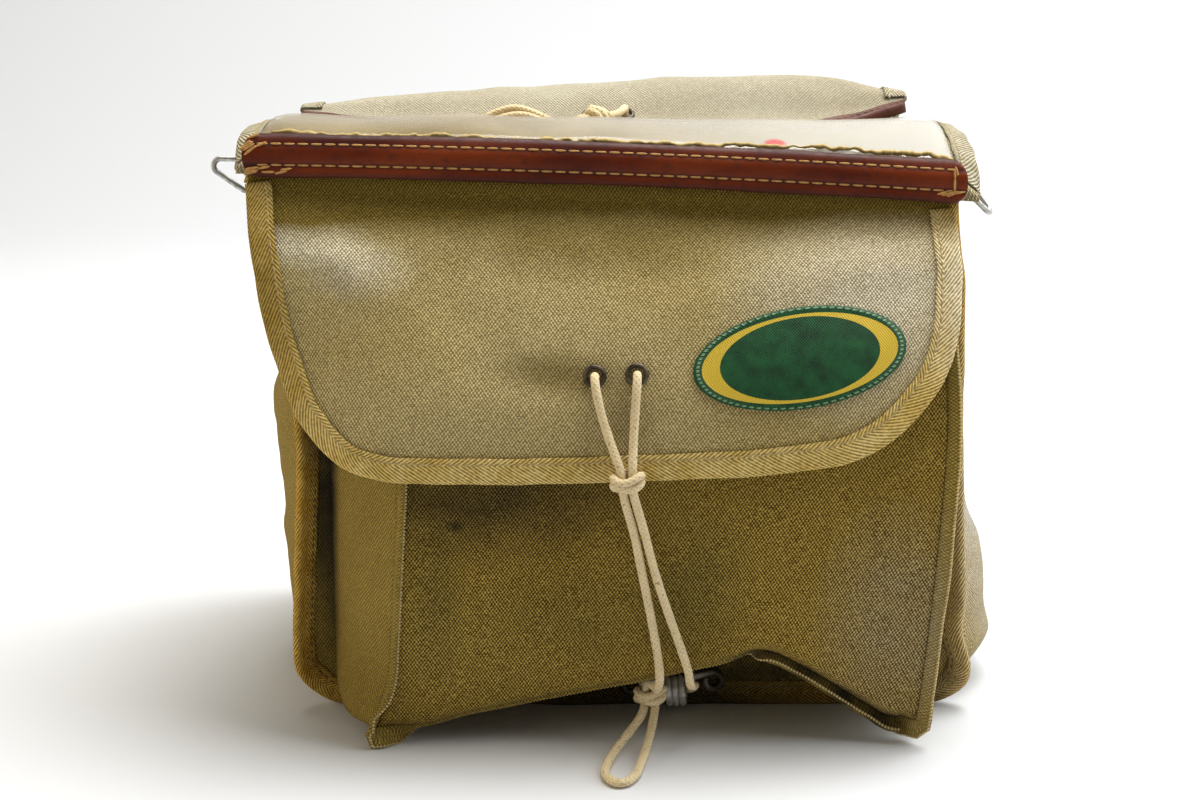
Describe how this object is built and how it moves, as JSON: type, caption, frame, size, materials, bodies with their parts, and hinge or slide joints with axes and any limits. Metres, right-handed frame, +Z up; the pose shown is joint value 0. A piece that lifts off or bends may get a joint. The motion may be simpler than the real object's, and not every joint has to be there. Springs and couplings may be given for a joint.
{
  "type": "bicycle handlebar bag",
  "caption": "Soft canvas handlebar bag with a box front pocket, corded pocket flap, leather front strip, clear map window on the lid and a rolled rear flap.",
  "frame": {"origin": "middle of the base of everything except the loose cords, on the surface that the bag stands on", "axes": "+X to the right seen from the front, +Y from the front pocket to the back, +Z up"},
  "size_m": [0.3098, 0.2397, 0.2333],
  "materials": {
    "canvas": "plain-woven cotton canvas, faded olive khaki",
    "flap_canvas": "plain-woven cotton canvas, lighter grey khaki",
    "tape": "herringbone cotton tape, mustard khaki",
    "leather": "worn red-brown leather with darker edges",
    "clear_sheet": "clear soft vinyl, yellowed",
    "patch": "green woven patch with a plain gold line",
    "eyelet": "dark bronze, worn",
    "wire": "dull zinc-plated wire",
    "cord": "braided cream cotton cord"
  },
  "bodies": {
    "root": {"body_front_panel": "canvas", "body_back_panel": "canvas", "body_gusset": "canvas", "body_front_binding": "tape", "body_back_binding": "tape", "pocket_front_panel": "canvas", "pocket_gusset": "canvas", "pocket_seam": "canvas", "pocket_flap": "flap_canvas", "flap_binding": "tape", "eyelet_left": "eyelet", "eyelet_right": "eyelet", "label_patch": "patch", "leather_strip": "leather", "lid_panel": "canvas", "map_window": "clear_sheet", "lid_binding_left": "tape", "lid_binding_right": "tape", "rear_flap": "flap_canvas", "rear_flap_trim": "leather", "rear_flap_binding_left": "tape", "rear_flap_binding_right": "tape", "rear_eyelet_left": "eyelet", "rear_eyelet_right": "eyelet", "strap_tab_left": "tape", "strap_tab_right": "tape", "cord_hook": "wire", "front_cord": "cord", "front_cord_knot": "cord", "front_cord_end_knot": "cord", "rear_cord": "cord", "rear_cord_knot": "cord"},
    "strap_ring_left": {"strap_ring_left": "wire"},
    "strap_ring_right": {"strap_ring_right": "wire"}
  },
  "joints": [
    {"name": "strap_ring_left_swing", "type": "hinge", "parent": "root", "child": "strap_ring_left", "pos_m": [-0.13943, -0.03923, 0.2075], "axis": [0.309, 0, 0.9511], "range_deg": [-60, 5]},
    {"name": "strap_ring_right_swing", "type": "hinge", "parent": "root", "child": "strap_ring_right", "pos_m": [0.13057, -0.03723, 0.2048], "axis": [0.2, 0.9638, 0.176], "range_deg": [-10, 45]}
  ]
}
